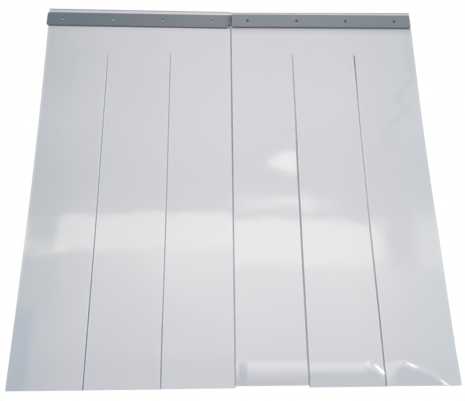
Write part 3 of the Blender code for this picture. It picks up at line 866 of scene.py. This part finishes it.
def seenDirectly(tree):  # 1 where the camera, a reflection or a clear sheet looks at the surroundings
    path = addNode(tree, "LightPath").outputs
    either = maths(tree, "MAXIMUM", path["Is Camera Ray"], path["Is Glossy Ray"])
    return maths(tree, "MAXIMUM", either, path["Is Transmission Ray"])


def makeRoom():
    world = bpy.data.worlds.new("white_room")
    bpy.context.scene.world = world
    world.use_nodes = True
    tree = world.node_tree
    background = tree.nodes["Background"]
    background.inputs["Color"].default_value = (1.0, 1.0, 1.0, 1.0)
    strength = ramp(tree, seenDirectly(tree), 0.0, 1.0, studio["roomLight"], 1.0, smooth=False)
    tree.links.new(strength, background.inputs["Strength"])


def makeFloor():
    shape = bmesh.new()
    bmesh.ops.create_circle(shape, cap_ends=True, segments=studio["floorSides"], radius=studio["floorRadius"])
    mesh = bpy.data.meshes.new("pale_floor")
    shape.to_mesh(mesh)
    shape.free()
    floor = bpy.data.objects.new("pale_floor", mesh)
    floor.location = (0.0, 0.0, studio["floorZ"])
    bpy.context.scene.collection.objects.link(floor)
    material, tree, shader = newMaterial("pale_floor")
    here = addNode(tree, "TexCoord").outputs["Object"]
    shader.inputs["Base Color"].default_value = (*studio["floorTint"], 1.0)
    shader.inputs["Roughness"].default_value = studio["floorRoughness"]
    away = addNode(tree, "VectorMath", {0: here}, operation="LENGTH").outputs["Value"]
    share = maths(tree, "MULTIPLY", ramp(tree, away, *studio["floorFade"]), seenDirectly(tree))
    glow = addNode(tree, "Emission", {"Color": (1.0, 1.0, 1.0, 1.0), "Strength": 1.0})
    setSurface(tree, addNode(tree, "MixShader", {
        0: share, 1: shader.outputs["BSDF"], 2: glow.outputs["Emission"],
    }))
    mesh.materials.append(material)


def windowShare(tree, across, up):
    look = wall["window"]
    aside = maths(tree, "MULTIPLY", maths(tree, "SUBTRACT", up, look["slantFrom"]), look["slant"])
    corner = maths(tree, "ADD", across, maths(tree, "MULTIPLY", up, look["cornerSlope"]))
    return product(
        tree, softBox(tree, maths(tree, "SUBTRACT", across, aside), up, *look["box"]),
        ramp(tree, across, *look["rightEdge"]), ramp(tree, corner, *look["cornerEdge"]),
    )


def glowShare(tree, across, up, window):  # the lit wall around the window
    look = wall["glow"]
    beside = maths(tree, "MULTIPLY", ramp(tree, across, *look["besideAcross"]), ramp(tree, up, *look["besideUp"]))
    return product(
        tree, ramp(tree, up, *look["rise"], smooth=False), ramp(tree, up, *look["top"]),
        ramp(tree, across, *look["middle"]), ramp(tree, across, *look["left"]),
        maths(tree, "SUBTRACT", 1.0, beside), ramp(tree, across, *look["right"]),
        maths(tree, "SUBTRACT", 1.0, window),
    )


def smearShare(tree, across, up):
    look = wall["smear"]
    (low, high), soft = look["up"], look["soft"]
    return product(
        tree, valueStops(tree, across, look["across"]),
        ramp(tree, up, low - soft, low + soft), ramp(tree, up, high + soft, high - soft),
    )


def ovalShare(tree, across, up):
    look = wall["oval"]
    squares = []
    for value, centre, half in zip((across, up), look["centre"], look["half"]):
        off = maths(tree, "DIVIDE", maths(tree, "SUBTRACT", value, centre), half)
        squares.append(maths(tree, "MULTIPLY", off, off))
    reach = maths(tree, "SQRT", maths(tree, "ADD", *squares))
    lit = ramp(tree, reach, *look["edge"], 0.0, look["strength"])
    return maths(tree, "MULTIPLY", lit, ramp(tree, across, *look["cut"]))


def lineShare(tree, across, up):
    look = wall["line"]
    least, span = look["least"], look["span"]
    stops = [(height, (place - least) / span) for height, place in look["points"]]
    place = maths(tree, "ADD", maths(tree, "MULTIPLY", valueStops(tree, up, stops), span), least)
    off = maths(tree, "ABSOLUTE", maths(tree, "SUBTRACT", across, place))
    dark = ramp(tree, off, *look["reach"], 0.0, look["share"])
    return maths(tree, "MULTIPLY", dark, ramp(tree, up, *look["lowEdge"]))


def makeWall():
    (left, right), (low, high) = wall["across"], wall["up"]
    corners = [(x, wall["y"], z) for x, z in ((left, low), (right, low), (right, high), (left, high))]
    mesh = bpy.data.meshes.new("window_wall")
    mesh.from_pydata(corners, [], [(0, 3, 2, 1)])
    card = bpy.data.objects.new("window_wall", mesh)
    bpy.context.scene.collection.objects.link(card)
    material, tree, shader = newMaterial("window_wall")
    place = addNode(tree, "SeparateXYZ", {"Vector": addNode(tree, "TexCoord").outputs["Object"]}).outputs
    across, up = place["X"], place["Z"]
    window = windowShare(tree, across, up)
    lit = maths(tree, "MULTIPLY", window, ramp(tree, across, *wall["window"]["strength"]))
    for *box, strength in wall["patches"]:
        lit = maths(tree, "ADD", lit, maths(tree, "MULTIPLY", softBox(tree, across, up, *box), strength))
    for share in (glowShare(tree, across, up, window), smearShare(tree, across, up), ovalShare(tree, across, up)):
        lit = maths(tree, "ADD", lit, share)
    plain = addNode(tree, "Emission", {
        "Color": colourStops(tree, up, wall["tones"]),
        "Strength": maths(tree, "SUBTRACT", 1.0, lineShare(tree, across, up)),
    })
    warm = addNode(tree, "Emission", {
        "Color": (*wall["litTint"], 1.0), "Strength": maths(tree, "MULTIPLY", lit, wall["lift"]),
    })
    setSurface(tree, addNode(tree, "AddShader", {0: plain.outputs["Emission"], 1: warm.outputs["Emission"]}))
    tree.nodes.remove(shader)
    mesh.materials.append(material)
    for kind in ("camera", "diffuse", "transmission", "shadow"):
        setattr(card, f"visible_{kind}", False)


def addLamp(name, look):
    light = bpy.data.lights.new(name, "AREA")
    light.shape = "RECTANGLE"
    light.size, light.size_y = look["size"]
    light.energy = look["watts"]
    lamp = bpy.data.objects.new(name, light)
    bpy.context.scene.collection.objects.link(lamp)
    lamp.location = look["centre"]
    lamp.rotation_mode = "QUATERNION"
    lamp.rotation_quaternion = (Vector(look["aim"]) - Vector(look["centre"])).to_track_quat("-Z", "Y")
    lamp.visible_camera = False
    lamp.visible_transmission = False


makeRoom()
makeFloor()
makeWall()
addLamp("soft_key", softKey)
addLamp("corner_lamp", cornerLamp)
camera = bpy.data.objects.new("camera", bpy.data.cameras.new("camera"))
bpy.context.scene.collection.objects.link(camera)
camera.location = view["location"]
camera.rotation_euler = [math.radians(angle) for angle in view["turnDeg"]]
camera.data.lens, camera.data.sensor_width = view["lens"], view["sensor"]
bpy.context.scene.camera = camera
bpy.context.scene.view_settings.view_transform = "Standard"
print("floor, wall, lamps and camera placed")
